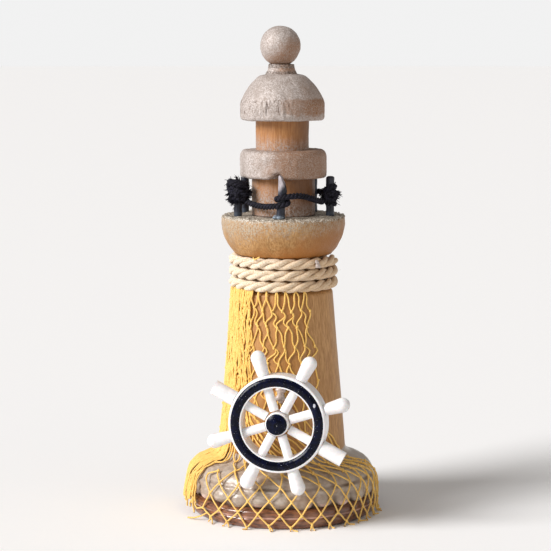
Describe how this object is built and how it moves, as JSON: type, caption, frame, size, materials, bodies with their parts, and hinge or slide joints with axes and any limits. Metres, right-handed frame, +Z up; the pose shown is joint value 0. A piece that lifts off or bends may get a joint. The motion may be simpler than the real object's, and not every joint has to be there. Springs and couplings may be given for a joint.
{
  "type": "lighthouse figurine",
  "caption": "Free-standing turned wooden lighthouse souvenir with rope collar, corded gallery rail, draped fishing net and a glued-on ship's wheel.",
  "frame": {"origin": "middle of the base's flat underside, on the tower's axis", "axes": "+Z up the tower, -Y out of the front with the ship's wheel, +X to the right seen from the front"},
  "size_m": [0.0602, 0.0646, 0.145],
  "materials": {
    "grey_wood": "turned wood under thin grey paint, satin",
    "brown_lacquer": "dark brown lacquered wood, glossy",
    "tan_wood": "tan stained wood, matte, worn grey wash",
    "pale_wood": "orange-brown bare wood with paint speckle",
    "silver_paint": "pearly silver-grey paint on wood, satin",
    "dowel_wood": "bare beech dowel",
    "peg_glue": "bare wood peg smeared with glue",
    "post_paint": "navy paint on wood pegs, satin",
    "rail_cord": "near-black navy waxed cord",
    "jute_rope": "cream three-strand jute rope",
    "net_twine": "yellow knotted cotton twine",
    "wheel_white": "warm white cast resin, satin",
    "wheel_navy": "glossy navy paint"
  },
  "bodies": {
    "root": {"base_mound": "grey_wood", "base_plinth": "brown_lacquer", "tower_body": "tan_wood", "gallery_bowl": "tan_wood", "watch_room": "pale_wood", "lantern_neck": "pale_wood", "lantern_disc": "silver_paint", "roof_dome": "silver_paint", "finial_collar": "silver_paint", "finial_ball": "silver_paint", "tower_foot_dowel": "dowel_wood", "gallery_dowel": "dowel_wood", "lantern_spindle": "dowel_wood", "roof_dowel": "dowel_wood", "finial_pin": "dowel_wood", "wheel_peg": "peg_glue", "rail_post_front": "post_paint", "rail_post_left": "post_paint", "rail_post_rear_left": "post_paint", "rail_post_rear_right": "post_paint", "rail_post_right": "post_paint", "rail_cord_front": "rail_cord", "rail_cord_back": "rail_cord", "rail_knot_left": "rail_cord", "rail_knot_right": "rail_cord", "neck_rope": "jute_rope", "fishing_net": "net_twine", "wheel_rim": "wheel_white", "wheel_hub": "wheel_white", "wheel_spoke_1": "wheel_white", "wheel_spoke_2": "wheel_white", "wheel_spoke_3": "wheel_white", "wheel_spoke_4": "wheel_white", "wheel_spoke_5": "wheel_white", "wheel_spoke_6": "wheel_white", "wheel_spoke_7": "wheel_white", "wheel_spoke_8": "wheel_white", "wheel_band": "wheel_navy", "wheel_hub_cap": "wheel_navy"}
  },
  "joints": []
}
